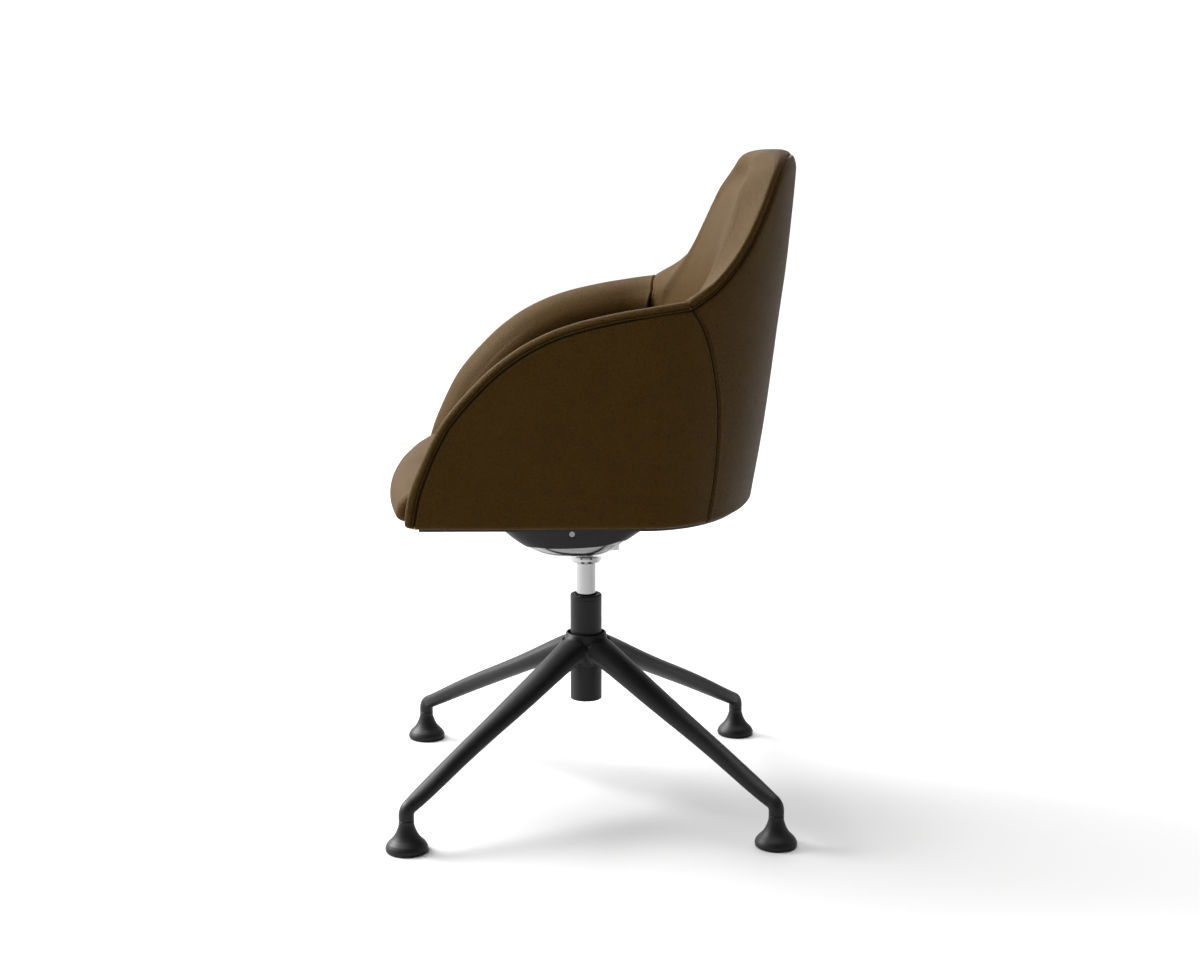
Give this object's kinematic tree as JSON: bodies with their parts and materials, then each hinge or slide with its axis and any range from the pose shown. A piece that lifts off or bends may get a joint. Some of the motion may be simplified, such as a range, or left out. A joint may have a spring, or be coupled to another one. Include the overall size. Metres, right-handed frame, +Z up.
{
  "type": "meeting chair",
  "caption": "Upholstered tub chair for meeting rooms: leather bucket seat with low arms on a gas-lift swivel column and a star base of slim legs with bell glides.",
  "frame": {"origin": "on the floor under the column axis", "axes": "+Z up along the column, the chair faces -Y, +X is the sitter's left"},
  "size_m": [0.6, 0.5623, 0.912],
  "materials": {
    "black_powder_coat": "satin",
    "black_plastic": "matte",
    "zinc_steel": "satin",
    "chrome": "polished",
    "bumper_rubber": "matte",
    "polished_aluminium": "polished",
    "plywood": "matte",
    "brown_leather": "matte"
  },
  "bodies": {
    "base": {"star_base": "black_powder_coat", "glide_front_left": "black_plastic", "glide_front_right": "black_plastic", "glide_rear_left": "black_plastic", "glide_rear_right": "black_plastic", "glide_stems": "zinc_steel", "column_stand_tube": "black_powder_coat", "column_guide_bush": "black_plastic", "bearing_lower_race": "zinc_steel", "bearing_ball_cage": "black_plastic"},
    "turning": {"piston_rod": "chrome", "piston": "zinc_steel", "rod_clip": "zinc_steel", "bearing_upper_race": "zinc_steel", "end_stop_bumper": "bumper_rubber"},
    "seat": {"pressure_tube": "chrome", "rod_gland": "zinc_steel", "valve_body": "zinc_steel", "seat_carrier": "polished_aluminium", "carrier_cover_left": "black_plastic", "carrier_cover_right": "black_plastic", "seat_bolts": "zinc_steel", "tee_nuts": "zinc_steel", "bottom_pan": "black_plastic", "seat_board": "plywood", "tub_core": "plywood", "seat_cushion": "brown_leather", "back_pad": "brown_leather", "arm_pad_left": "brown_leather", "arm_pad_right": "brown_leather", "side_panel_left": "brown_leather", "side_panel_right": "brown_leather", "back_panel": "brown_leather"},
    "lever": {"lever_rod": "chrome", "lever_handle": "black_plastic", "lever_finger": "zinc_steel"},
    "button": {"release_button": "zinc_steel"}
  },
  "joints": [
    {"name": "seat_swivel", "type": "hinge", "parent": "base", "child": "turning", "pos_m": [0, 0, 0.15], "axis": [0, 0, 1], "continuous": true},
    {"name": "seat_height", "type": "slide", "parent": "turning", "child": "seat", "axis": [0, 0, 1], "range_m": [-0.038, 0.042]},
    {"name": "lever_lift", "type": "hinge", "parent": "seat", "child": "lever", "pos_m": [0, -0.021, 0.3855], "axis": [-1, 0, 0], "range_deg": [0, 8], "stiffness_Nm_per_rad": 4, "springref_deg": -2.86},
    {"name": "valve_press", "type": "slide", "parent": "seat", "child": "button", "axis": [0, 0, -1], "range_m": [0, 0.003]}
  ],
  "couplings": [
    {"joint": "valve_press", "follows": "lever_lift", "m_per_rad": 0.021}
  ]
}
